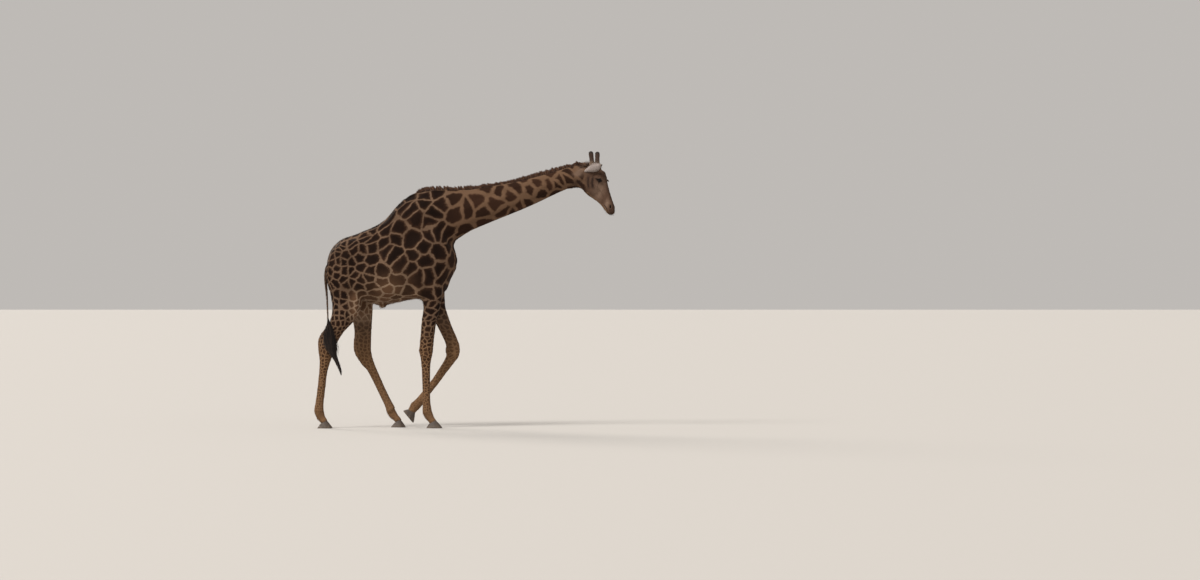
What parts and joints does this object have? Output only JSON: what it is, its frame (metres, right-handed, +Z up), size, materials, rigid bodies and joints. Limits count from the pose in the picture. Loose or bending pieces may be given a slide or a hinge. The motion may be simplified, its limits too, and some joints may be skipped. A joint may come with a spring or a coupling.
{
  "type": "giraffe",
  "caption": "Life-size walking giraffe bull with the neck carried low, as a still museum model standing on its own hooves.",
  "frame": {"origin": "on the floor, under the middle of the whole animal", "axes": "+X forward, the way the animal walks, +Y the animal's left, +Z up"},
  "size_m": [3.89, 0.6972, 3.5848],
  "materials": {
    "coat": "short matt hair",
    "face": "short matt hair",
    "shank": "short matt hair",
    "ear": "soft pale hair",
    "horn": "skin with dark hair on top",
    "eye": "wet gloss",
    "mane": "stiff upright hair",
    "tuft": "long coarse hair",
    "hoof": "worn horn"
  },
  "bodies": {
    "root": {"trunk": "coat", "neck": "coat", "head": "face", "mane": "mane", "ear_left": "ear", "horn_left": "horn", "eye_left": "eye", "ear_right": "ear", "horn_right": "horn", "eye_right": "eye", "tail": "coat", "tail_tuft": "tuft", "foreleg_right_upper": "coat", "foreleg_right_lower": "shank", "foreleg_right_claw_left": "hoof", "foreleg_right_claw_right": "hoof", "foreleg_left_upper": "coat", "foreleg_left_lower": "shank", "foreleg_left_claw_left": "hoof", "foreleg_left_claw_right": "hoof", "hindleg_right_upper": "coat", "hindleg_right_lower": "shank", "hindleg_right_claw_left": "hoof", "hindleg_right_claw_right": "hoof", "hindleg_left_upper": "coat", "hindleg_left_lower": "shank", "hindleg_left_claw_left": "hoof", "hindleg_left_claw_right": "hoof"}
  },
  "joints": []
}
